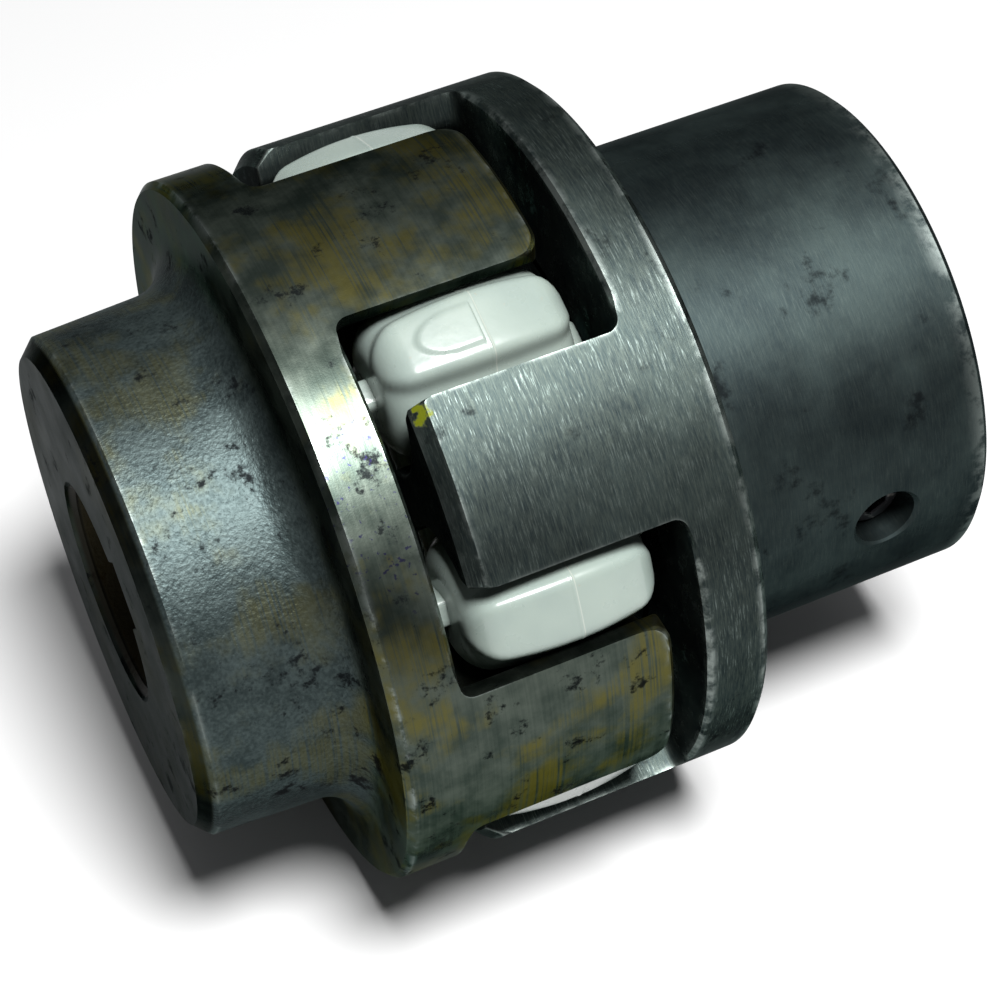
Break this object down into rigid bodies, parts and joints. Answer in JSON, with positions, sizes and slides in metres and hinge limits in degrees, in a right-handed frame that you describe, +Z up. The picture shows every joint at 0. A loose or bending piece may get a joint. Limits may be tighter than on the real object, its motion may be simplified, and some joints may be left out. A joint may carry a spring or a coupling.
{
  "type": "jaw coupling",
  "caption": "Curved-jaw shaft coupling: a short cast hub and a long turned hub with interleaved claws and a crowned-tooth elastomer spider between them.",
  "frame": {"origin": "on the shaft axis, at the middle of the coupling's overall length", "axes": "+X along the shaft axis from the short hub to the long hub, +Z up through a claw of the short hub, -Y through the long hub's set screw"},
  "size_m": [0.0636, 0.055, 0.055],
  "materials": {
    "cast_hub": "sand-cast boss with machined face and rim, oiled and worn",
    "turned_hub": "turned, dark, with fine circumferential marks",
    "spider": "glossy ivory-white polyurethane",
    "screw": "black oxide"
  },
  "bodies": {
    "short_hub": {"short_hub": "cast_hub"},
    "spider": {"spider": "spider"},
    "long_hub": {"long_hub": "turned_hub"},
    "set_screw": {"set_screw": "screw"}
  },
  "joints": [
    {"name": "torsional_play", "type": "hinge", "parent": "short_hub", "child": "spider", "pos_m": [-0.0052, 0, 0], "axis": [1, 0, 0], "range_deg": [-0.7, 0.7]},
    {"name": "hub_pull_off", "type": "slide", "parent": "spider", "child": "long_hub", "axis": [1, 0, 0], "range_m": [0, 0.02]},
    {"name": "set_screw_travel", "type": "slide", "parent": "long_hub", "child": "set_screw", "axis": [0, -1, 0], "range_m": [-0.0011, 0.0085]}
  ]
}
